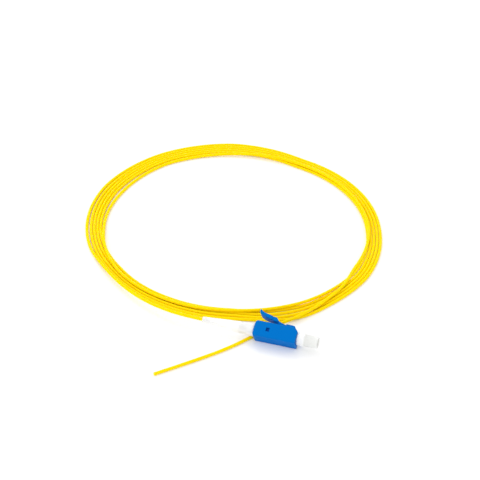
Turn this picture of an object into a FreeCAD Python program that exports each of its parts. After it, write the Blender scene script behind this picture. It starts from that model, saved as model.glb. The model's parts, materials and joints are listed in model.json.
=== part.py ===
import FreeCAD, Part
import math
import os

from FreeCAD import Vector

# Fibre pigtail: a small square plug with a 1.25 mm ferrule, its latch lever, boot and dust cap,
# on about a metre of 0.9 mm tight-buffered fibre that lies in a loose coil, cut bare at its far end.
# The plug is modelled along its own axis: x forward with 0 at the nose, z to the latch side.
# Then it is rolled about that axis, as it lies beside its coil. All sizes are in millimetres.

os.makedirs("parts", exist_ok=True)

# housing
body_width = 4.5
body_length = 12.1
edge_round = 0.4
rear_round = 0.8
nose_slope_length = 1.35
nose_slope_height = 1.25
nose_round = 0.3
nose_bore = 3.0
nose_depth = 3.3
web_thickness = 0.8
web_clearance = 0.1
window_back = 8.1
window_length = 0.95
window_height = 1.1

# ferrule, flange, spring and fibre
ferrule_diameter = 1.25
ferrule_length = 6.4
ferrule_reach = 1.6
ferrule_chamfer = 0.2
ferrule_bore = 0.14
ferrule_entry = 0.6
fibre_diameter = 0.125
coating_diameter = 0.25
coating_run = 1.0
sleeve_diameter = 1.8
sleeve_length = 1.3
collar_across_flats = 2.3
collar_length = 1.0
collar_round = 0.1
tail_tube_diameter = 1.45
tail_tube_length = 3.4
ferrule_travel = 0.8
spring_wire = 0.24
spring_mean_diameter = 2.02
spring_length = 2.4
spring_turns = 4
spring_bore = 2.75

# rear insert that closes the housing and carries the boot
insert_diameter = 3.2
insert_post_diameter = 2.3
insert_post_length = 3.6
insert_barb_height = 0.12
insert_barb_length = 0.3
insert_barbs = 3
insert_bore = 1.7
tab_length = 0.75
tab_height = 0.9
tab_recess = 0.3

# boot
boot_length = 14.8
boot_front_diameter = 3.6
boot_rear_diameter = 1.56
boot_collar_length = 1.2
boot_end_bevel = 0.12

# latch lever: heights are above the housing's top face, distances are behind the nose
hinge_back = 4.2
hinge_height = -0.05
knuckle_radius = 0.36
arm_width = 2.6
lug_back = 6.1
lug_length = 1.35
lug_width = 4.3
lug_top = 1.9
lug_thickness = 1.2
lug_nose_drop = 0.35
lug_nose_length = 0.5
lug_under_rise = 0.15
thumb_back = 8.5
thumb_width = 3.3
thumb_top = 2.35
thumb_thickness = 1.0
thumb_sag = 0.3
tip_back = 11.5
tip_top = 3.4
tip_round = 0.3

# dust cap
cap_collar_length = 2.5
cap_gap = 0.15
cap_diameter = 3.5
cap_root_length = 2.0
cap_rim_diameter = 3.75
cap_rim_length = 0.4
cap_tube_diameter = 3.3
cap_tube_length = 3.4
cap_wall = 0.42
cap_tip_room = 0.3
cap_bevel = 0.12

# clearances
fit_gap = 0.03
running_gap = 0.05
seat_gap = 0.02
cut_past = 1.0

# how the plug lies: rolled about its axis, on its lower long edge
roll = 62.0

# cable: its diameter, and the band that its loose turns fill on the floor round a mean circle
cable_diameter = 0.9
coil_height = 2 * cable_diameter
coil_radius = 40.6
coil_centre_x = -22.17
coil_centre_y = 42.87
coil_turn_start = 18.1
# how far the turns spread inside and outside that circle, in cable diameters, at even angles
coil_spread_in = (2.7, 3.3, 3.3, 2.6, 2.1, 3.4, 4.2, 5.3, 5.5, 4.9, 1.8, 2.1)
coil_spread_out = (2.2, 1.8, 1.3, 4.1, 4.9, 4.1, 2.2, 1.0, 0.0, 0.3, 3.3, 3.8)

top_face = body_width / 2
web_front = -nose_depth
web_rear = web_front - web_thickness
collar_front = web_rear - seat_gap
collar_rear = collar_front - collar_length
insert_front = collar_rear - spring_length
boot_front = -body_length - seat_gap
boot_rear = boot_front - boot_length
ferrule_rear = ferrule_reach - ferrule_length
coating_front = ferrule_rear + ferrule_entry / 4
coating_rear = ferrule_rear - coating_run
cable_front = coating_rear - ferrule_travel - running_gap
cap_rear = cap_gap - cap_collar_length
cap_root_front = cap_gap + cap_root_length
cap_tube_front = cap_root_front + cap_tube_length
hinge = Vector(-hinge_back, 0, top_face + hinge_height)
axis_height = (top_face - edge_round) * (math.sin(math.radians(roll)) + math.cos(math.radians(roll)))
axis_height += edge_round


def rod(diameter, start, end):
    """A round bar along the plug's axis between two stations."""
    low = min(start, end)
    return Part.makeCylinder(diameter / 2, abs(end - start), Vector(low, 0, 0), Vector(1, 0, 0))


def turned(profile):
    """A solid turned about the plug's axis from (station, radius) corners."""
    corners = [Vector(station, 0, radius) for station, radius in profile]
    face = Part.Face(Part.makePolygon(corners + corners[:1]))
    return face.revolve(Vector(0, 0, 0), Vector(1, 0, 0), 360)


def slab(edges, width):
    """A side profile given width, half to each side of the plug's middle plane."""
    face = Part.Face(Part.Wire(edges))
    face.translate(Vector(0, -width / 2, 0))
    return face.extrude(Vector(0, width, 0))


def line(first, second):
    return Part.LineSegment(first, second).toShape()


def point(station, height):
    """A place in the plug's middle plane, its height taken from the housing's top face."""
    return Vector(station, 0, top_face + height)


def parallel_edges(shape, along):
    """Straight edges of a shape that run one way."""
    found = []
    for edge in shape.Edges:
        if len(edge.Vertexes) == 2:
            span = edge.Vertexes[1].Point - edge.Vertexes[0].Point
            if abs(span.Length - edge.Length) < 1e-6 and span.cross(along).Length < 1e-6:
                found.append(edge)
    return found


def edges_at(shape, station):
    """Edges of a shape that lie in one cross plane."""
    return [edge for edge in shape.Edges
            if abs(edge.BoundBox.XMin - station) < 1e-4 and abs(edge.BoundBox.XMax - station) < 1e-4]


def make_housing():
    outer = Part.makeBox(body_length, body_width, body_width,
                         Vector(-body_length, -body_width / 2, -body_width / 2))
    outer = outer.makeFillet(edge_round, parallel_edges(outer, Vector(1, 0, 0)))
    outer = outer.makeFillet(rear_round, edges_at(outer, -body_length))

    slope_foot = point(0, -nose_slope_height)
    slope_head = point(-nose_slope_length, 0)
    past = Vector(nose_slope_length, 0, nose_slope_height)
    wedge = slab([line(slope_foot, slope_head), line(slope_head, slope_head + past),
                  line(slope_head + past, slope_foot + past), line(slope_foot + past, slope_foot)],
                 2 * body_width)
    outer = outer.cut(wedge)
    crest = [edge for edge in parallel_edges(outer, Vector(0, 1, 0))
             if (edge.CenterOfMass - slope_foot).Length < 0.01]
    outer = outer.makeFillet(nose_round, crest)

    bores = [rod(nose_bore, cut_past, web_front),
             rod(sleeve_diameter + 2 * web_clearance, web_front, web_rear),
             rod(spring_bore, web_rear, insert_front),
             rod(insert_diameter + 2 * fit_gap, insert_front, -body_length - cut_past)]
    window = Part.makeBox(window_length, 2 * body_width, window_height,
                          Vector(-window_back - window_length / 2, -body_width, -window_height / 2))
    groove = Part.makeCylinder(knuckle_radius + running_gap, arm_width + 4 * running_gap,
                               hinge - Vector(0, arm_width / 2 + 2 * running_gap, 0), Vector(0, 1, 0))
    return outer.cut(Part.makeCompound(bores + [window, groove])).removeSplitter()


def make_latch_lever():
    """The lever springs from a knuckle at the nose end and ends in a thumb pad that curls up."""
    thumb_start = point(-thumb_back, thumb_top)
    thumb_drop = Vector(0, 0, -thumb_thickness)
    knee = thumb_start + thumb_drop
    tip = point(-tip_back, tip_top)
    thumb_middle = (thumb_start + tip) * 0.5 - Vector(0, 0, thumb_sag)
    tip_end = tip + Vector(-tip_round, 0, -0.6 * tip_round)
    tip_lower = tip + Vector(-tip_round, 0, -2 * tip_round)

    toward_knee = (knee - hinge).normalize()
    toward_thumb = (thumb_start - hinge).normalize()
    squarely_up = Vector(-toward_thumb.z, 0, toward_thumb.x) * -1
    under_foot = hinge + toward_knee * knuckle_radius
    top_foot = hinge + squarely_up * knuckle_radius
    below = hinge - (under_foot + top_foot - hinge * 2).normalize() * knuckle_radius
    profile = [Part.Arc(under_foot, below, top_foot).toShape(),
               line(top_foot, thumb_start),
               Part.Arc(thumb_start, thumb_middle, tip).toShape(),
               Part.Arc(tip, tip_end, tip_lower).toShape(),
               Part.Arc(tip_lower, thumb_middle + thumb_drop, knee).toShape(),
               line(knee, under_foot)]
    arm = slab(profile, arm_width)
    thumb_room = Part.makeBox(body_length, body_width, 2 * body_width,
                              Vector(-thumb_back - body_length, -body_width / 2, 0))
    thumb = slab(profile, thumb_width).common(thumb_room)

    lug_front = -lug_back
    lug_rear = -lug_back - lug_length
    lug_low = lug_top - lug_thickness
    lug_corners = [point(lug_front, lug_low), point(lug_front, lug_top - lug_nose_drop),
                   point(lug_front - lug_nose_length, lug_top - lug_nose_drop / 4),
                   point(lug_rear, lug_top), point(lug_rear, lug_low + lug_under_rise)]
    lug = slab(Part.makePolygon(lug_corners + lug_corners[:1]).Edges, lug_width)
    return arm.fuse([thumb, lug]).removeSplitter()


def make_ferrule():
    tip_radius = ferrule_diameter / 2 - ferrule_chamfer
    body = turned([(ferrule_rear, ferrule_bore / 2), (ferrule_rear, ferrule_diameter / 2),
                   (ferrule_reach - ferrule_chamfer, ferrule_diameter / 2), (ferrule_reach, tip_radius),
                   (ferrule_reach, ferrule_bore / 2)])
    entry = Part.makeCone(coating_diameter, ferrule_bore / 2, ferrule_entry,
                          Vector(ferrule_rear, 0, 0), Vector(1, 0, 0))
    return body.cut(entry)


def make_ferrule_flange():
    """Metal barrel bonded round the ferrule: front sleeve, six-sided collar and tail tube."""
    corner = collar_across_flats / math.sqrt(3)
    corners = [Vector(collar_rear, corner * math.cos(math.radians(60 * side)),
                      corner * math.sin(math.radians(60 * side))) for side in range(6)]
    collar = Part.Face(Part.makePolygon(corners + corners[:1])).extrude(Vector(collar_length, 0, 0))
    collar = collar.makeFillet(collar_round, parallel_edges(collar, Vector(1, 0, 0)))
    sleeve = rod(sleeve_diameter, collar_front, collar_front + sleeve_length)
    tail = rod(tail_tube_diameter, collar_rear - tail_tube_length, collar_rear)
    seat = rod(ferrule_diameter, ferrule_rear, collar_front + sleeve_length + cut_past)
    bore = rod(cable_diameter + 2 * running_gap, collar_rear - tail_tube_length - cut_past, ferrule_rear)
    return collar.fuse([sleeve, tail]).cut(Part.makeCompound([seat, bore])).removeSplitter()


def make_ferrule_spring():
    """Open coil spring; its round wire is drawn six-sided to keep the faces few."""
    wire_radius = spring_wire / 2
    start = insert_front + wire_radius + seat_gap
    pitch = (spring_length - spring_wire - 2 * seat_gap) / spring_turns
    helix = Part.makeHelix(pitch, pitch * spring_turns, spring_mean_diameter / 2)
    corners = [Vector(spring_mean_diameter / 2 + wire_radius * math.cos(math.radians(60 * side)), 0,
                      wire_radius * math.sin(math.radians(60 * side))) for side in range(6)]
    section = Part.makePolygon(corners + corners[:1])
    coil = Part.Wire(helix).makePipeShell([section], True, True)
    coil.rotate(Vector(0, 0, 0), Vector(0, 1, 0), 90)
    coil.translate(Vector(start, 0, 0))
    return coil


def make_rear_insert():
    """Insert with a plug in the housing's rear bore, a barbed post in the boot and two snap tabs."""
    post = insert_post_diameter / 2
    rear = boot_front - insert_post_length
    barb_pitch = insert_post_length / (insert_barbs + 1)
    profile = [(insert_front, insert_bore / 2), (insert_front, insert_diameter / 2),
               (-body_length, insert_diameter / 2), (-body_length, post)]
    for barb in range(1, insert_barbs + 1):
        station = boot_front - barb * barb_pitch
        profile += [(station + insert_barb_height, post), (station, post + insert_barb_height),
                    (station - insert_barb_length, post)]
    profile += [(rear, post), (rear, insert_bore / 2)]
    body = turned(profile)
    reach = body_width / 2 - tab_recess
    tabs = Part.makeBox(tab_length, 2 * reach, tab_height,
                        Vector(-window_back - tab_length / 2, -reach, -tab_height / 2))
    hollow = rod((insert_bore + insert_diameter) / 2, -window_back - tab_length, -window_back + tab_length)
    return body.fuse(tabs.cut(hollow)).removeSplitter()


def make_boot():
    front = boot_front_diameter / 2
    rear = boot_rear_diameter / 2
    bore = cable_diameter / 2 + running_gap
    post = insert_post_diameter / 2 + insert_barb_height + fit_gap
    post_end = boot_front - insert_post_length - 2 * running_gap
    return turned([(boot_front, post), (boot_front, front), (boot_front - boot_collar_length, front),
                   (boot_rear + boot_end_bevel, rear), (boot_rear, rear - boot_end_bevel),
                   (boot_rear, bore), (post_end - post + bore, bore), (post_end, post)])


def make_dust_cap():
    """Soft cap: collar in the nose bore round the ferrule, root, rim and a thin open grip tube."""
    bore = ferrule_diameter / 2 + running_gap
    collar = nose_bore / 2 - running_gap
    root = cap_diameter / 2
    rim = cap_rim_diameter / 2
    tube = cap_tube_diameter / 2
    rim_rear = cap_root_front - cap_rim_length
    bore_end = ferrule_reach + cap_tip_room
    floor_front = max(cap_root_front, bore_end + cap_wall)
    return turned([(cap_rear, bore), (cap_rear, collar - cap_bevel), (cap_rear + cap_bevel, collar),
                   (cap_gap, collar), (cap_gap, root), (rim_rear, root), (rim_rear, rim),
                   (cap_root_front, rim), (cap_root_front, tube), (cap_tube_front - cap_bevel, tube),
                   (cap_tube_front, tube - cap_bevel), (cap_tube_front, tube - cap_wall),
                   (floor_front, tube - cap_wall), (floor_front, 0), (bore_end, 0), (bore_end, bore)])


def make_fibre():
    return rod(fibre_diameter, coating_front, ferrule_reach)


def make_fibre_coating():
    """Coated fibre behind the ferrule; its free length lets the ferrule be pushed back."""
    return rod(coating_diameter, coating_front, coating_rear)


def make_cable_in_boot():
    return rod(cable_diameter, cable_front, boot_rear)


def tangent_route(points):
    """One wire of straight runs and tangent arcs through a hand-chosen route."""
    edges = []
    radii = []
    start = points[0]
    for before, corner, after in zip(points, points[1:], points[2:]):
        run_in = corner - before
        run_out = after - corner
        half_turn = run_in.getAngle(run_out) / 2
        reach = 0.45 * min(run_in.Length, run_out.Length)
        toward = run_in.normalize()
        away = run_out.normalize()
        radius = reach / math.tan(half_turn)
        inward = (away - toward).normalize()
        crown = corner + inward * (radius / math.cos(half_turn) - radius)
        edges.append(line(start, corner - toward * reach))
        edges.append(Part.Arc(corner - toward * reach, crown, corner + away * reach).toShape())
        radii.append(radius)
        start = corner + away * reach
    edges.append(line(start, points[-1]))
    return Part.Wire(edges), radii


def make_cable_tube(name, points):
    """Round cable along a route, with its bend radii and its volume against section times length."""
    wire, radii = tangent_route(points)
    heading = (points[1] - points[0]).normalize()
    section = Part.Wire(Part.makeCircle(cable_diameter / 2, points[0], heading))
    tube = wire.makePipeShell([section], True, False)
    expected = math.pi * cable_diameter ** 2 / 4 * wire.Length
    print(name, "length %.1f" % wire.Length, "radii", ", ".join("%.0f" % radius for radius in radii),
          "volume %.2f of %.2f" % (tube.Volume, expected))
    return tube


def coil_outline(spread):
    """Closed outline of arcs round the coil from its distances outside the mean circle, in cable diameters."""
    centre = Vector(coil_centre_x, coil_centre_y, 0)
    places = []
    for index, diameters in enumerate(spread):
        radius = coil_radius + diameters * cable_diameter
        angle = math.radians(coil_turn_start + index * 360 / len(spread))
        places.append(centre + Vector(radius * math.cos(angle), radius * math.sin(angle), 0))
    arcs = [Part.Arc(start, middle, end).toShape()
            for start, middle, end in zip(places[::2], places[1::2], places[2::2] + places[:1])]
    return Part.Face(Part.Wire(arcs))


def make_cable_coil():
    """The flat band that the loose turns fill, as wide as they spread on each side."""
    disc = coil_outline(coil_spread_out).extrude(Vector(0, 0, coil_height))
    opening = coil_outline([-diameters for diameters in coil_spread_in])
    opening = opening.extrude(Vector(0, 0, 3 * coil_height))
    opening.translate(Vector(0, 0, -coil_height))
    return disc.cut(opening)


plug = {
    "connector_housing": make_housing(),
    "latch_lever": make_latch_lever(),
    "ferrule": make_ferrule(),
    "ferrule_flange": make_ferrule_flange(),
    "ferrule_spring": make_ferrule_spring(),
    "rear_insert": make_rear_insert(),
    "strain_relief_boot": make_boot(),
    "dust_cap": make_dust_cap(),
    "glass_fibre": make_fibre(),
    "fibre_coating": make_fibre_coating(),
    "cable_in_boot": make_cable_in_boot(),
}

for shape in plug.values():
    shape.rotate(Vector(0, 0, 0), Vector(1, 0, 0), -roll)
    shape.translate(Vector(0, 0, axis_height))
box = Part.makeCompound(list(plug.values())).optimalBoundingBox(False, False)
to_origin = Vector(-(box.XMin + box.XMax) / 2, -(box.YMin + box.YMax) / 2, -box.ZMin)
for shape in plug.values():
    shape.translate(to_origin)
cable_exit = Vector(boot_rear, 0, axis_height) + to_origin
print("moved to origin", to_origin, "cable exit", cable_exit)

# the lead leaves the boot level and comes down to the floor beside the other turns
lead_route = [cable_exit,
              Vector(-20.3, -1.43, 2.9),
              Vector(-27.2, -0.35, 2.65),
              Vector(-35.0, 2.7, 1.95),
              Vector(-42.5, 7.2, 1.28),
              Vector(-48.9, 12.4, 0.95)]

# the tail leaves the outside of the coil, passes under the boot and ends cut bare
tail_route = [Vector(15.36, 23.57, 0.45),
              Vector(13.08, 18.57, 0.45),
              Vector(9.0, 12.28, 0.45),
              Vector(0.6, 2.9, 0.45),
              Vector(-6.0, -7.45, 0.45),
              Vector(-13.9, -16.25, 0.45),
              Vector(-22.1, -24.6, 0.45)]

cable = {
    "cable_lead": make_cable_tube("cable_lead", lead_route),
    "cable_coil": make_cable_coil(),
    "cable_tail": make_cable_tube("cable_tail", tail_route),
}

for name, shape in {**plug, **cable}.items():
    shape.exportStep("parts/%s.step" % name)
    print(name, "valid", shape.isValid(), "solids", len(shape.Solids), "volume %.3f" % shape.Volume)
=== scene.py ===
import json
import math

import bmesh
import bpy
import numpy as np
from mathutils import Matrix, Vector


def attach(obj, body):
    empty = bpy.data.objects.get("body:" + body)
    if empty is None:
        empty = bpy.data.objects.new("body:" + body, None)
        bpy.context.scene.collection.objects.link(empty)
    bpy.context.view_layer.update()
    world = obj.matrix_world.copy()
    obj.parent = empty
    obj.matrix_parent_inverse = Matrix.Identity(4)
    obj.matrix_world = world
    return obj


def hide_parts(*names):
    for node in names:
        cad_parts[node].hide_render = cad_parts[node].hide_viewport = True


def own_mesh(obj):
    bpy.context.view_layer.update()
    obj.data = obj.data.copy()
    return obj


# Fibre pigtail on a pale floor: square blue plug with its lever, white boot and clear dust cap,
# and a loose coil of yellow cable that ends cut bare. Lengths named in mm are turned to metres by mm.
mm = 0.001

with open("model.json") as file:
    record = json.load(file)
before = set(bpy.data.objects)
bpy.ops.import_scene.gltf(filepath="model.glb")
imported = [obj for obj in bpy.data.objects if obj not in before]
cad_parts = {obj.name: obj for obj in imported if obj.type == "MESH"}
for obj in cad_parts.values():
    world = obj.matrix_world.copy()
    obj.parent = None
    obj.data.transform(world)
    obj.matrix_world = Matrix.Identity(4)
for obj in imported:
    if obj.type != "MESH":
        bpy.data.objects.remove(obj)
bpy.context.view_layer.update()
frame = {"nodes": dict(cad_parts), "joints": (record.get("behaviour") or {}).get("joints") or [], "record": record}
nodes = frame["nodes"]
joints = {joint["name"]: joint for joint in frame["joints"]}
mounts = {mount["name"]: mount for mount in frame["record"]["mounts"]}

# the plug's own axes in the row frame, from its mount and its lever's hinge
noseCentre = np.array(mounts["adapter_plug"]["pos_m"])
forward = np.array([1.0, 0.0, 0.0])
sideways = -np.array(joints["latch_press"]["axis"])
latchWay = np.cross(forward, sideways)


def toRow(local):
    # a place in mm along the plug's axes, put in the row frame: the nose's centre, plus mm times each of
    # ahead, across and above along its own axis
    ahead, across, above = local[..., :1], local[..., 1:2], local[..., 2:3]
    return noseCentre + mm * (ahead * forward + across * sideways + above * latchWay)


def gridPiece(name, sheets, finish, wrapsAlong=False):
    # each sheet is rows of points joined by four-sided faces; a row closes on itself, and so may the rows.
    # A row whose points all meet closes an end
    sharpAngle = 38.0  # degrees: edges sharper than this stay crisp
    weldWithin = 0.0005 * mm
    corners = []
    before = 0
    for points in sheets:
        rows, across = points.shape[:2]
        joined = rows if wrapsAlong else rows - 1
        row, column = np.meshgrid(np.arange(joined), np.arange(across), indexing="ij")
        nextRow = (row + 1) % rows
        nextColumn = (column + 1) % across
        corners.append(before + np.stack([row * across + column, nextRow * across + column,
                                          nextRow * across + nextColumn, row * across + nextColumn],
                                         axis=-1).reshape(-1, 4))
        before += rows * across
    places = np.concatenate([points.reshape(-1, 3) for points in sheets])
    mesh = bpy.data.meshes.new(name)
    mesh.from_pydata(places.tolist(), [], np.concatenate(corners).tolist())
    shell = bmesh.new()
    shell.from_mesh(mesh)
    bmesh.ops.remove_doubles(shell, verts=shell.verts, dist=weldWithin)
    bmesh.ops.recalc_face_normals(shell, faces=shell.faces)
    shell.to_mesh(mesh)
    shell.free()
    mesh.polygons.foreach_set("use_smooth", np.ones(len(mesh.polygons), bool))
    mesh.set_sharp_from_angle(angle=math.radians(sharpAngle))
    mesh.materials.append(finish)
    piece = bpy.data.objects.new(name, mesh)
    bpy.context.scene.collection.objects.link(piece)
    return piece


def softProfile(corners, steps=6):
    # each corner is (station, radius, round): a parabola from one round before it to one round after it
    places = np.array([corner[:2] for corner in corners], float)
    softened = []
    for index, place in enumerate(places):
        reach = corners[index][2]
        if reach == 0 or index in (0, len(places) - 1):
            softened.append(place[None])
            continue
        before = places[index - 1] - place
        after = places[index + 1] - place
        enter = place + before * min(reach / np.linalg.norm(before), 0.5)
        leave = place + after * min(reach / np.linalg.norm(after), 0.5)
        t = np.linspace(0, 1, steps)[:, None]
        softened.append((1 - t) ** 2 * enter + 2 * t * (1 - t) * place + t ** 2 * leave)
    return np.concatenate(softened)


def turnedPoints(profile, segments):
    # (station, radius) turned about the plug's axis
    angle = np.linspace(0, 2 * np.pi, segments, endpoint=False)
    radius = np.broadcast_to(profile[:, 1:2], (len(profile), segments))
    station = np.broadcast_to(profile[:, :1], radius.shape)
    return toRow(np.stack([station, radius * np.cos(angle), radius * np.sin(angle)], axis=-1))


def mouldedFinish(name, look):
    # colour wanders between tint and shade over mottleSize, and roughness with it; fine grain stands up by
    # grainDepth, and broad waves by waveDepth where the look has them
    mottleLow, mottleHigh = 0.3, 0.7  # nearly all of the noise lies between these
    material = bpy.data.materials.new(name)
    material.use_nodes = True
    tree = material.node_tree
    shader = tree.nodes["Principled BSDF"]
    place = tree.nodes.new("ShaderNodeTexCoord")

    def noise(size, detail):
        texture = tree.nodes.new("ShaderNodeTexNoise")
        texture.inputs["Scale"].default_value = 1 / (size * mm)
        texture.inputs["Detail"].default_value = detail
        tree.links.new(place.outputs["Object"], texture.inputs["Vector"])
        return texture

    mottle = noise(look["mottleSize"], detail=3)
    tint = tree.nodes.new("ShaderNodeMix")
    tint.data_type = "RGBA"
    tint.inputs["A"].default_value = (*look["tint"], 1)
    tint.inputs["B"].default_value = (*look["shade"], 1)
    tree.links.new(mottle.outputs["Fac"], tint.inputs["Factor"])
    tree.links.new(tint.outputs["Result"], shader.inputs["Base Color"])
    sheen = tree.nodes.new("ShaderNodeMapRange")
    sheen.inputs["From Min"].default_value = mottleLow
    sheen.inputs["From Max"].default_value = mottleHigh
    sheen.inputs["To Min"].default_value = look["roughness"][0]
    sheen.inputs["To Max"].default_value = look["roughness"][1]
    tree.links.new(mottle.outputs["Fac"], sheen.inputs["Value"])
    tree.links.new(sheen.outputs["Result"], shader.inputs["Roughness"])

    grain = noise(look["grainSize"], detail=2)
    fine = tree.nodes.new("ShaderNodeBump")
    fine.inputs["Distance"].default_value = look["grainDepth"] * mm
    tree.links.new(grain.outputs["Fac"], fine.inputs["Height"])
    if "waveDepth" in look:
        wave = noise(look["waveSize"], detail=1)
        broad = tree.nodes.new("ShaderNodeBump")
        broad.inputs["Distance"].default_value = look["waveDepth"] * mm
        tree.links.new(wave.outputs["Fac"], broad.inputs["Height"])
        tree.links.new(broad.outputs["Normal"], fine.inputs["Normal"])
    tree.links.new(fine.outputs["Normal"], shader.inputs["Normal"])
    for socket, value in look["sockets"].items():
        shader.inputs[socket].default_value = value
    if "thinFrom" in look:
        # past thinFrom ahead of the nose the colour slides over fadeLength to a greyer tint: painted shade for
        # the thin translucent wall, which lets light through and so looks greyer than the solid root
        thinStart = noseCentre[0] + look["thinFrom"] * mm
        split = tree.nodes.new("ShaderNodeSeparateXYZ")
        fade = tree.nodes.new("ShaderNodeMapRange")
        fade.inputs["From Min"].default_value = thinStart
        fade.inputs["From Max"].default_value = thinStart + look["fadeLength"] * mm
        thin = tree.nodes.new("ShaderNodeMix")
        thin.data_type = "RGBA"
        thin.inputs["B"].default_value = (*look["thinWallPaintedShade"], 1)
        tree.links.new(place.outputs["Object"], split.inputs["Vector"])
        tree.links.new(split.outputs["X"], fade.inputs["Value"])
        tree.links.new(fade.outputs["Result"], thin.inputs["Factor"])
        tree.links.new(tint.outputs["Result"], thin.inputs["A"])
        tree.links.new(thin.outputs["Result"], shader.inputs["Base Color"])
    return material


def turnedMetal(name, look):
    # fine tool marks: bands across the plug's axis vary the roughness and stand up by grooveDepth
    material = mouldedFinish(name, look)
    tree = material.node_tree
    shader = tree.nodes["Principled BSDF"]
    place = tree.nodes.new("ShaderNodeTexCoord")
    marks = tree.nodes.new("ShaderNodeTexWave")
    marks.wave_type = "BANDS"
    marks.bands_direction = "X"
    marks.inputs["Scale"].default_value = 1 / (look["grooveSize"] * mm)
    marks.inputs["Distortion"].default_value = look["grooveWander"]
    bump = tree.nodes.new("ShaderNodeBump")
    bump.inputs["Distance"].default_value = look["grooveDepth"] * mm
    tree.links.new(place.outputs["Object"], marks.inputs["Vector"])
    tree.links.new(marks.outputs["Fac"], bump.inputs["Height"])
    tree.links.new(bump.outputs["Normal"], shader.inputs["Normal"])
    return material


finishes = {
    "blue_housing": {"tint": (0.0, 0.158, 0.54), "shade": (0.0, 0.15, 0.52), "mottleSize": 3.0,
                     "roughness": (0.3, 0.4), "grainSize": 0.06, "grainDepth": 0.002,
                     "sockets": {"Specular IOR Level": 0.02}},
    "blue_insert": {"tint": (0.0, 0.06, 0.33), "shade": (0.0, 0.05, 0.28), "mottleSize": 2.0,
                    "roughness": (0.42, 0.52), "grainSize": 0.08, "grainDepth": 0.003,
                    "sockets": {"Specular IOR Level": 0.05}},
    "white_boot": {"tint": (0.95, 0.957, 0.962), "shade": (0.93, 0.938, 0.948), "mottleSize": 2.5,
                   "roughness": (0.42, 0.52), "grainSize": 0.08, "grainDepth": 0.003,
                   "sockets": {"Subsurface Weight": 1.0, "Subsurface Scale": 1.0 * mm,
                               "Subsurface Radius": (1.0, 1.0, 1.0)}},
    "clear_cap": {"tint": (1.0, 1.0, 1.0), "shade": (0.985, 0.988, 0.985), "mottleSize": 1.5,
                  # past thinFrom the cap's colour is painted greyer: painted shade for its thin translucent wall
                  "thinFrom": 2.0, "fadeLength": 0.3, "thinWallPaintedShade": (0.79, 0.8, 0.77),
                  "roughness": (0.34, 0.46), "grainSize": 0.1, "grainDepth": 0.004,
                  "sockets": {"Transmission Weight": 0.04, "IOR": 1.4, "Subsurface Weight": 1.0,
                              "Subsurface Scale": 1.2 * mm, "Subsurface Radius": (1.0, 1.0, 1.0)}},
    "yellow_jacket": {"tint": (1.0, 0.722, 0.0), "shade": (1.0, 0.69, 0.0), "mottleSize": 4.0,
                      "roughness": (0.33, 0.43), "grainSize": 0.12, "grainDepth": 0.003,
                      "waveSize": 2.5, "waveDepth": 0.01,
                      "sockets": {"Specular IOR Level": 0.05, "Subsurface Weight": 0.6,
                                  "Subsurface Scale": 0.35 * mm, "Subsurface Radius": (1.0, 0.8, 0.05)}},
    "white_ceramic": {"tint": (0.92, 0.915, 0.88), "shade": (0.9, 0.893, 0.85), "mottleSize": 1.0,
                      "roughness": (0.08, 0.13), "grainSize": 0.03, "grainDepth": 0.0003,
                      "sockets": {"IOR": 2.1, "Subsurface Weight": 0.2, "Subsurface Scale": 0.15 * mm,
                                  "Subsurface Radius": (1.0, 0.95, 0.85)}},
    "nickel_barrel": {"tint": (0.72, 0.7, 0.66), "shade": (0.64, 0.62, 0.58), "mottleSize": 0.8,
                      "roughness": (0.2, 0.32), "grainSize": 0.05, "grainDepth": 0.001,
                      "grooveSize": 0.25, "grooveDepth": 0.002, "grooveWander": 1.5,
                      "sockets": {"Metallic": 1.0}},
    "spring_steel": {"tint": (0.6, 0.61, 0.62), "shade": (0.5, 0.51, 0.53), "mottleSize": 0.5,
                     "roughness": (0.22, 0.34), "grainSize": 0.04, "grainDepth": 0.001,
                     "grooveSize": 0.12, "grooveDepth": 0.001, "grooveWander": 1.5,
                     "sockets": {"Metallic": 1.0}},
    "clear_glass": {"tint": (0.95, 0.97, 0.98), "shade": (0.93, 0.96, 0.97), "mottleSize": 0.3,
                    "roughness": (0.02, 0.05), "grainSize": 0.02, "grainDepth": 0.0001,
                    "sockets": {"Transmission Weight": 1.0, "IOR": 1.46}},
    "clear_coating": {"tint": (0.93, 0.93, 0.88), "shade": (0.9, 0.9, 0.84), "mottleSize": 0.3,
                      "roughness": (0.15, 0.25), "grainSize": 0.03, "grainDepth": 0.0005,
                      "sockets": {"Transmission Weight": 0.5, "IOR": 1.5}},
}
metals = ("nickel_barrel", "spring_steel")
materials = {}
for slotName, look in finishes.items():
    makeFinish = turnedMetal if slotName in metals else mouldedFinish
    materials[slotName] = makeFinish(slotName + "_finish", look)
print("finishes made")

# every CAD node takes the finish of its slot in the record
for subpart in frame["record"]["subparts"]:
    node = nodes[subpart["node"]]
    node.data.materials.clear()
    node.data.materials.append(materials[subpart["material_slot"]])
print("CAD nodes finished")

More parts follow.
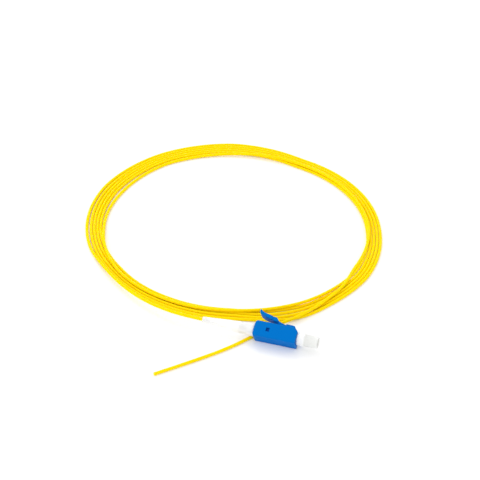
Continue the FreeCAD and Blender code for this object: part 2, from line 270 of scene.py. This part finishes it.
cable = {
    "diameter": 0.9 * mm,
    "length": 1.53,
    "coilCentre": (-22.17, 42.87),
    "coilTurnStart": 18.1,
    "tableStart": 240.0,
    "tableStep": 30.0,
    "pointStep": 7.5,
    "laidFrom": 200.0,  # a turn rides over cable that was laid from this angle on
    "smoothPasses": 5,  # each spreads a rise over its neighbours
    "stepsPerPoint": 8,
    "roundSteps": 6,
    "coilStart": 195.0,
    "coilEnd": -1845.0,
    "crossingGap": 0.93,
    # a row for each turn: its distance from the coil's centre in mm at every tableStep degrees, from
    # tableStart on down
    "turnRadii": (
        (42.9, 40.3, 42.1, 43.75, 44.3, 43.8, 41.2, 41.85, 42.3, 43.6, 43.35, 40.5),
        (39.55, 39.33, 40.9, 42.6, 43.35, 42.8, 40.27, 40.9, 41.35, 42.67, 42.3, 39.0),
        (38.4, 38.33, 39.97, 41.55, 42.4, 41.8, 39.34, 39.95, 40.4, 41.74, 41.1, 37.8),
        (37.15, 37.33, 39.04, 40.55, 41.45, 40.8, 38.41, 39, 39.45, 40.81, 39.9, 36.6),
        (36.1, 36.35, 38.13, 39.5, 40.5, 39.8, 37.48, 38.05, 38.6, 39.88, 39.5, 38.0),
        (37.68, 37.85, 37.2, 37.9, 39.2, 38.5, 37.95, 38.53, 39.07, 39.12, 43.9, 46.5),
    ),
    # places where a turn bows out: degrees along the coil, how far out in mm, and over how many degrees
    "bows": ((-68.0, 1.35, 10.0), (-432.0, 1.05, 12.0), (-792.0, 0.7, 12.0), (-1152.0, 0.35, 12.0)),
    "lead": ((-16.235, -1.43065, 2.902), (-20.3, -1.43, 2.9), (-27.2, -0.35, 2.65),
             (-35.0, 2.7, 1.95), (-42.5, 7.2, 1.45), (-49.0, 12.28, 1.4)),
    "tail": ((9.5, 11.6, 1.55), (0.6, 2.9, 0.45), (-6.0, -7.45, 0.45), (-13.9, -16.25, 0.45),
             (-22.1, -24.6, 0.45)),
}


def coilTurns(settings):
    # places round the coil's centre at even angles, each as far out as its turn; a turn that lies nearer
    # than a cable's width to an earlier one rides over it: height = floor + sqrt(gap^2 - distance apart^2)
    table = np.concatenate([np.array(turn) for turn in settings["turnRadii"]])
    tableAngle = settings["tableStart"] - settings["tableStep"] * np.arange(len(table))
    angle = np.arange(settings["coilStart"], settings["coilEnd"] - 1, -settings["pointStep"])

    def radiusAt(way):
        # the table's straight steps, and each bow added as out * exp(-((way - at) / width)^2)
        bowed = sum(out * np.exp(-((way - at) / width) ** 2) for at, out, width in settings["bows"])
        return np.interp(-way, -tableAngle, table) + bowed

    radius = radiusAt(angle)
    rise = np.zeros(len(angle))
    for turnsBack in range(1, len(settings["turnRadii"])):
        earlier = angle + 360 * turnsBack
        apart = radius - radiusAt(np.minimum(earlier, settings["tableStart"]))
        over = np.sqrt(np.clip(settings["crossingGap"] ** 2 - apart ** 2, 0, None))
        rise = np.maximum(rise, np.where(earlier <= settings["laidFrom"], over, 0))
    for _ in range(settings["smoothPasses"]):
        padded = np.pad(rise, 1, mode="edge")
        rise = np.maximum(rise, 0.5 * (padded[:-2] + padded[2:]))
    turned = np.radians(angle + settings["coilTurnStart"])
    reach = radius / math.cos(math.radians(settings["pointStep"] / 2))
    floorHeight = settings["diameter"] / mm / 2
    return np.stack([settings["coilCentre"][0] + reach * np.cos(turned),
                     settings["coilCentre"][1] + reach * np.sin(turned), floorHeight + rise], axis=-1)


def makeCable(settings):
    # one smooth line through the lead, the loose turns and the tail, with a round section
    lead, tail = np.array(settings["lead"]), np.array(settings["tail"])
    route = np.concatenate([lead, coilTurns(settings), tail]) * mm
    line = bpy.data.curves.new("pigtail_cable", "CURVE")
    line.dimensions = "3D"
    spline = line.splines.new("NURBS")
    spline.points.add(len(route) - 1)
    spline.points.foreach_set("co", np.column_stack([route, np.ones(len(route))]).ravel())
    spline.order_u = 3
    spline.use_endpoint_u = True
    spline.resolution_u = settings["stepsPerPoint"]
    line.bevel_depth = settings["diameter"] / 2
    line.bevel_resolution = settings["roundSteps"]
    line.use_fill_caps = True
    line.materials.append(materials["yellow_jacket"])
    piece = bpy.data.objects.new("pigtail_cable", line)
    bpy.context.scene.collection.objects.link(piece)
    return piece


cableLine = makeCable(cable)
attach(cableLine, "plug_and_cable")
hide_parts("cable_lead", "cable_coil", "cable_tail")
print("cable laid")

boot = {
    "front": -12.12,
    "rear": -26.92,
    "radius": 1.8,
    "collarLength": 1.2,
    "collarRound": 0.14,
    "shoulderRound": 0.5,
    "rearRadius": 0.78,
    "rearRound": 0.12,
    "bore": 0.5,
    "mouthRound": 0.05,
    "postRadius": 1.3,
    "postEnd": -15.82,
    "boreTaper": 0.8,
    "segments": 96,
}


def makeBoot(settings):
    # a short straight collar that tapers to the cable, hollow for the insert's post and the cable
    profile = softProfile([(settings["front"], settings["postRadius"], 0),
                           (settings["front"], settings["radius"], settings["collarRound"]),
                           (settings["front"] - settings["collarLength"], settings["radius"],
                            settings["shoulderRound"]),
                           (settings["rear"], settings["rearRadius"], settings["rearRound"]),
                           (settings["rear"], settings["bore"], settings["mouthRound"]),
                           (settings["postEnd"] - settings["boreTaper"], settings["bore"], 0),
                           (settings["postEnd"], settings["postRadius"], 0)])
    points = turnedPoints(profile, settings["segments"])
    return gridPiece("boot_body", [points], materials["white_boot"], wrapsAlong=True)


bootBody = makeBoot(boot)
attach(bootBody, "plug_and_cable")
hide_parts("strain_relief_boot")
print("boot turned")

cap = {
    "bore": 0.675,
    "boreEnd": 1.9,
    "boreRound": 0.1,
    "rear": -2.35,
    "mouthRound": 0.08,
    "collarRadius": 1.45,
    "collarRound": 0.14,
    "gap": 0.15,
    "seatRound": 0.03,
    "rootRadius": 1.75,
    "rootRound": 0.12,
    "rimRadius": 1.875,
    "rimRear": 1.75,
    "rimFront": 2.15,
    "rimRearRound": 0.1,
    "rimFrontRound": 0.14,
    "cornerRound": 0.05,
    "tubeRadius": 1.65,
    "tubeFront": 5.85,
    "tubeRound": 0.08,
    "wall": 0.42,
    "lipRound": 0.16,
    "lipInnerRound": 0.12,
    "floorFront": 2.32,
    "floorRound": 0.2,
    "segments": 96,
}


def makeCap(settings):
    # a plug collar for the nose's bore, a root with a rim, and a thin open grip tube
    inner = settings["tubeRadius"] - settings["wall"]
    profile = softProfile([(settings["boreEnd"], 0, 0),
                           (settings["boreEnd"], settings["bore"], settings["boreRound"]),
                           (settings["rear"], settings["bore"], settings["mouthRound"]),
                           (settings["rear"], settings["collarRadius"], settings["collarRound"]),
                           (settings["gap"], settings["collarRadius"], settings["seatRound"]),
                           (settings["gap"], settings["rootRadius"], settings["rootRound"]),
                           (settings["rimRear"], settings["rootRadius"], settings["cornerRound"]),
                           (settings["rimRear"], settings["rimRadius"], settings["rimRearRound"]),
                           (settings["rimFront"], settings["rimRadius"], settings["rimFrontRound"]),
                           (settings["rimFront"], settings["tubeRadius"], settings["tubeRound"]),
                           (settings["tubeFront"], settings["tubeRadius"], settings["lipRound"]),
                           (settings["tubeFront"], inner, settings["lipInnerRound"]),
                           (settings["floorFront"], inner, settings["floorRound"]),
                           (settings["floorFront"], 0, 0)])
    points = turnedPoints(profile, settings["segments"])
    return gridPiece("cap_body", [points], materials["clear_cap"])


capBody = makeCap(cap)
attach(capBody, "cap")
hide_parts("dust_cap")
print("cap turned")

ferruleTube = {
    "rear": -4.8,
    "reach": 1.6,
    "radius": 0.625,
    "rearRound": 0.06,
    "chamfer": 0.2,
    "chamferRound": 0.08,
    "bore": 0.07,
    "entryRadius": 0.25,
    "entryDepth": 0.6,
    "entryRound": 0.03,
    "segments": 72,
}


def makeFerrule(settings):
    # polished ceramic cylinder with a lapped chamfer and a conical entry for the coated fibre
    front = settings["reach"]
    profile = softProfile([(settings["rear"] + settings["entryDepth"], settings["bore"], 0),
                           (settings["rear"], settings["entryRadius"], settings["entryRound"]),
                           (settings["rear"], settings["radius"], settings["rearRound"]),
                           (front - settings["chamfer"], settings["radius"], settings["chamferRound"]),
                           (front, settings["radius"] - settings["chamfer"], settings["chamferRound"]),
                           (front, settings["bore"], 0)])
    points = turnedPoints(profile, settings["segments"])
    return gridPiece("ferrule_body", [points], materials["white_ceramic"], wrapsAlong=True)


ferruleBody = makeFerrule(ferruleTube)
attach(ferruleBody, "ferrule_assembly")
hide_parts("ferrule")
print("ferrule turned")

spring = {
    "wireRadius": 0.12,
    "meanRadius": 1.01,
    "rear": -7.38,
    "front": -5.26,
    "turns": 4,
    "closedPart": 0.1,
    "pushedTo": 0.667,
    "seatGap": 0.02,
    "stepsPerTurn": 48,
    "sides": 12,
}


def makeSpring(settings):
    # round wire on a helix: station runs from rear to front as the angle turns, slower near both ends
    along = np.linspace(0, 1, settings["turns"] * settings["stepsPerTurn"] + 1)
    angle = 2 * np.pi * settings["turns"] * along
    eased = along - settings["closedPart"] / (2 * np.pi) * np.sin(2 * np.pi * along)
    station = settings["rear"] + (settings["front"] - settings["rear"]) * eased
    around = np.linspace(0, 2 * np.pi, settings["sides"], endpoint=False)
    size = np.full(len(along), settings["wireRadius"])
    size = np.concatenate([[0], size, [0]])[:, None]
    angle = np.pad(angle, 1, mode="edge")[:, None]
    station = np.pad(station, 1, mode="edge")[:, None]
    reach = settings["meanRadius"] + size * np.cos(around)
    across, above = reach * np.cos(angle), reach * np.sin(angle)
    points = np.stack([station + size * np.sin(around), across, above], axis=-1)
    return gridPiece("spring_coil", [toRow(points)], materials["spring_steel"])


springCoil = makeSpring(spring)
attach(springCoil, "plug_and_cable")
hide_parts("ferrule_spring")
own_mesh(springCoil)
print("spring wound")

lever = {
    "cornerRound": 0.16,
    "pointsPerCorner": 5,
    "rowStep": 0.08,
    # distance behind the nose, then the top's and the underside's heights above the axis, then half width
    "arm": ((3.85, 2.3, 2.3, 0.0), (3.85, 2.7, 2.14, 1.24), (3.89, 2.78, 2.02, 1.3), (4.0, 2.84, 1.9, 1.3),
            (4.2, 2.88, 1.86, 1.3), (4.6, 2.99, 2.335, 1.3), (5.0, 3.1, 2.42, 1.3), (6.0, 3.44, 2.62, 1.3),
            (7.0, 3.97, 2.96, 1.3), (7.4, 4.15, 3.12, 1.32), (7.7, 4.32, 3.25, 1.58),
            (8.0, 4.45, 3.38, 1.65), (8.75, 4.7, 3.66, 1.65), (9.3, 4.8, 3.76, 1.65),
            (10.0, 4.94, 3.94, 1.65), (10.7, 5.16, 4.2, 1.65), (11.15, 5.42, 4.46, 1.65),
            (11.42, 5.7, 4.66, 1.63), (11.6, 5.86, 4.84, 1.58), (11.74, 5.86, 4.96, 1.48),
            (11.8, 5.76, 5.06, 1.35), (11.8, 5.4, 5.4, 0.0)),
    "lugs": ((6.05, 3.3, 3.3, 0.0), (6.05, 3.5, 2.99, 2.08), (6.1, 3.58, 2.95, 2.15),
             (6.6, 4.04, 2.98, 2.15), (6.85, 4.12, 3.0, 2.15), (7.36, 4.16, 3.08, 2.15),
             (7.45, 4.12, 3.12, 2.1), (7.45, 3.6, 3.6, 0.0)),
}


def loftedBar(table, settings):
    # rounded rectangles across the bar, one at each table row and at even steps between them: each corner
    # is a quarter circle about a centre that lies its radius in from the sides
    table = np.array(table)
    rows = [table[:1]]
    for start, end in zip(table, table[1:]):
        steps = max(1, math.ceil((end[0] - start[0]) / settings["rowStep"]))
        rows.append(start + (end - start) * np.linspace(0, 1, steps + 1)[1:, None])
    back, top, under, half = np.concatenate(rows).T
    tall = (top - under) / 2
    radius = np.minimum(settings["cornerRound"], np.minimum(tall, half))
    turn = np.linspace(0, np.pi / 2, settings["pointsPerCorner"])
    turn = (turn + np.pi / 2 * np.arange(4)[:, None]).ravel()
    cornerWay = np.repeat(np.arange(4) * np.pi / 2 + np.pi / 4, settings["pointsPerCorner"])
    across, upward = np.sign(np.cos(cornerWay)), np.sign(np.sin(cornerWay))
    middle = (top + under) / 2
    sidewaysPlace = across * (half - radius)[:, None] + radius[:, None] * np.cos(turn)
    height = middle[:, None] + upward * (tall - radius)[:, None] + radius[:, None] * np.sin(turn)
    return toRow(np.stack([-np.broadcast_to(back[:, None], height.shape), sidewaysPlace, height], axis=-1))


latchLever = gridPiece("lever_body", [loftedBar(lever["arm"], lever), loftedBar(lever["lugs"], lever)],
                       materials["blue_housing"])
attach(latchLever, "latch")
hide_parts("latch_lever")
print("lever lofted")

# the raised foot on the housing that the lever springs from
latchRoot = {
    "cornerRound": 0.14,
    "pointsPerCorner": 4,
    "rowStep": 0.12,
    # the same columns as the lever's
    "slab": ((0.12, 1.2, 1.2, 0.0), (0.12, 1.4, 1.0, 1.75), (0.25, 1.58, 1.0, 1.85),
             (0.95, 2.28, 1.6, 1.85), (1.1, 2.6, 1.7, 1.85), (1.3, 2.78, 1.8, 1.85),
             (3.4, 2.86, 1.9, 1.85), (3.62, 2.8, 1.9, 1.8), (3.7, 2.65, 2.0, 1.7), (3.7, 2.3, 2.3, 0.0)),
}

leverRoot = gridPiece("latch_root", [loftedBar(latchRoot["slab"], latchRoot)], materials["blue_housing"])
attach(leverRoot, "plug_and_cable")
print("latch root lofted")

camera = {
    "lens": 174.75,
    "sensorWidth": 36.0,
    "nearClip": 0.01,
    "farClip": 20.0,
    "place": (147.4, -470.0, 399.8),
    "aim": (-19.05, 39.83, 0.0),
}


def makeCamera(settings):
    data = bpy.data.cameras.new("camera")
    data.lens = settings["lens"]
    data.sensor_width = settings["sensorWidth"]
    data.clip_start = settings["nearClip"]
    data.clip_end = settings["farClip"]
    piece = bpy.data.objects.new("camera", data)
    piece.location = Vector(settings["place"]) * mm
    looking = Vector(settings["aim"]) - Vector(settings["place"])
    piece.rotation_euler = looking.to_track_quat("-Z", "Y").to_euler()
    bpy.context.scene.collection.objects.link(piece)
    bpy.context.scene.camera = piece


studio = {
    "floorSize": 6.0,
    "floorColour": (0.97, 0.97, 0.97),
    "floorGlow": 0.1,
    "worldStrength": 0.96,
    "keyPower": 1.2,
    "keySize": 0.42,
    "keyDistance": 0.75,
    "keyAzimuth": 125.0,
    "keyElevation": 52.0,
    "fillPower": 0.95,
    "fillSize": 0.6,
    "fillAzimuth": -110.0,
    "fillElevation": 40.0,
}


def makeFloor(settings):
    # one flat square; where it is seen, directly or in a reflection, floorGlow of white is mixed in
    half = settings["floorSize"] / 2
    corners = [(-half, -half, 0), (half, -half, 0), (half, half, 0), (-half, half, 0)]
    mesh = bpy.data.meshes.new("floor")
    mesh.from_pydata(corners, [], [(0, 1, 2, 3)])
    material = bpy.data.materials.new("pale_floor")
    material.use_nodes = True
    tree = material.node_tree
    tree.nodes.clear()
    output = tree.nodes.new("ShaderNodeOutputMaterial")
    plain = tree.nodes.new("ShaderNodeBsdfDiffuse")
    plain.inputs["Color"].default_value = (*settings["floorColour"], 1)
    glow = tree.nodes.new("ShaderNodeEmission")
    glow.inputs["Color"].default_value = (1, 1, 1, 1)
    glow.inputs["Strength"].default_value = 1.0
    soft = tree.nodes.new("ShaderNodeMixShader")
    soft.inputs["Fac"].default_value = settings["floorGlow"]
    rays = tree.nodes.new("ShaderNodeLightPath")
    seenOrMirrored = tree.nodes.new("ShaderNodeMath")
    seenOrMirrored.operation = "MAXIMUM"
    seenAnyWay = tree.nodes.new("ShaderNodeMath")
    seenAnyWay.operation = "MAXIMUM"
    pick = tree.nodes.new("ShaderNodeMixShader")
    tree.links.new(plain.outputs[0], soft.inputs[1])
    tree.links.new(glow.outputs[0], soft.inputs[2])
    tree.links.new(rays.outputs["Is Camera Ray"], seenOrMirrored.inputs[0])
    tree.links.new(rays.outputs["Is Glossy Ray"], seenOrMirrored.inputs[1])
    tree.links.new(seenOrMirrored.outputs[0], seenAnyWay.inputs[0])
    tree.links.new(rays.outputs["Is Transmission Ray"], seenAnyWay.inputs[1])
    tree.links.new(seenAnyWay.outputs[0], pick.inputs["Fac"])
    tree.links.new(plain.outputs[0], pick.inputs[1])
    tree.links.new(soft.outputs[0], pick.inputs[2])
    tree.links.new(pick.outputs[0], output.inputs["Surface"])
    mesh.materials.append(material)
    piece = bpy.data.objects.new("floor", mesh)
    bpy.context.scene.collection.objects.link(piece)


def makeWorld(settings):
    # even white light of worldStrength, seen by the camera as plain white
    world = bpy.data.worlds.new("studio")
    world.use_nodes = True
    tree = world.node_tree
    background = tree.nodes["Background"]
    background.inputs["Color"].default_value = (1, 1, 1, 1)
    rays = tree.nodes.new("ShaderNodeLightPath")
    level = tree.nodes.new("ShaderNodeMapRange")
    level.inputs["To Min"].default_value = settings["worldStrength"]
    level.inputs["To Max"].default_value = 1.0
    tree.links.new(rays.outputs["Is Camera Ray"], level.inputs["Value"])
    tree.links.new(level.outputs["Result"], background.inputs["Strength"])
    bpy.context.scene.world = world


def makeLamp(name, power, size, distance, azimuth, elevation):
    # a round soft lamp that looks at the coil's centre from an azimuth and an elevation in degrees
    data = bpy.data.lights.new(name, "AREA")
    data.shape = "DISK"
    data.energy = power
    data.size = size
    around, up = math.radians(azimuth), math.radians(elevation)
    centre = Vector((cable["coilCentre"][0], cable["coilCentre"][1], 0)) * mm
    way = Vector((math.cos(around) * math.cos(up), math.sin(around) * math.cos(up), math.sin(up)))
    piece = bpy.data.objects.new(name, data)
    piece.location = centre + way * distance
    piece.rotation_euler = (-way).to_track_quat("-Z", "Y").to_euler()
    bpy.context.scene.collection.objects.link(piece)


makeCamera(camera)
makeFloor(studio)
makeWorld(studio)
makeLamp("key", studio["keyPower"], studio["keySize"], studio["keyDistance"],
         studio["keyAzimuth"], studio["keyElevation"])
makeLamp("fill", studio["fillPower"], studio["fillSize"], studio["keyDistance"],
         studio["fillAzimuth"], studio["fillElevation"])
bpy.context.scene.view_settings.view_transform = "Standard"
print("studio set")
